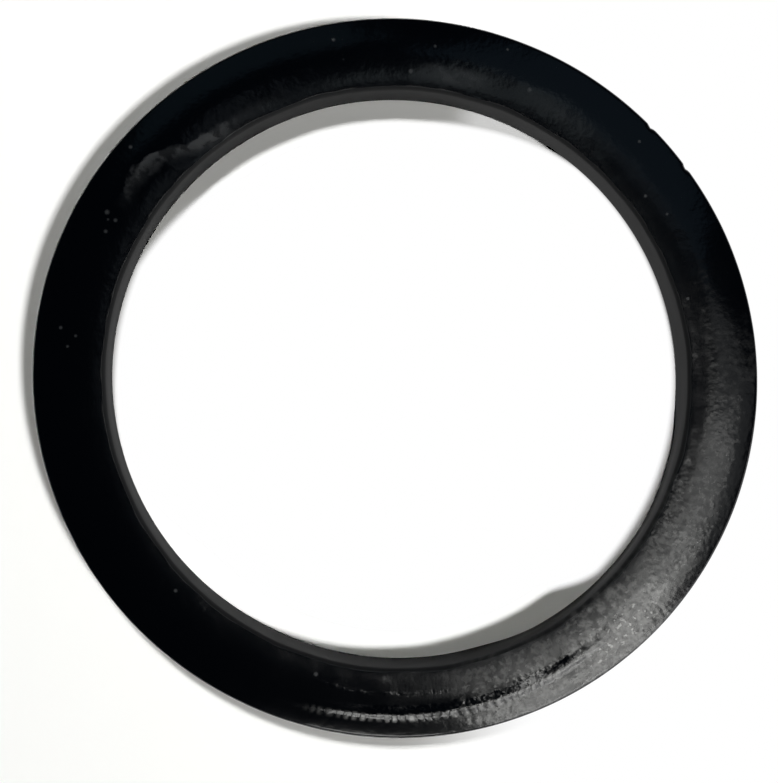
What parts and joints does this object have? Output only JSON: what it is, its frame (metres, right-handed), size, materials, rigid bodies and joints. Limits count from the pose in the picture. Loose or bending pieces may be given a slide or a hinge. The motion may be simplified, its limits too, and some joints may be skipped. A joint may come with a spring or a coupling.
{
  "type": "flat sealing ring",
  "caption": "Flat round sealing ring of black rubber with a wide plain hole, a flat underside, a gently crowned top and finely rounded edges.",
  "frame": {"origin": "centre of the hole, on the flat underside the ring lies on", "axes": "+Z is the ring's axis and points up from the underside to the crest of the top face; X and Y lie in the plane of the underside"},
  "size_m": [0.066, 0.066, 0.004],
  "materials": {
    "black_rubber": "smooth moulded black rubber with a low sheen, finely grained, with dust specks and light handling marks"
  },
  "bodies": {
    "root": {"sealing_ring": "black_rubber"}
  },
  "joints": []
}
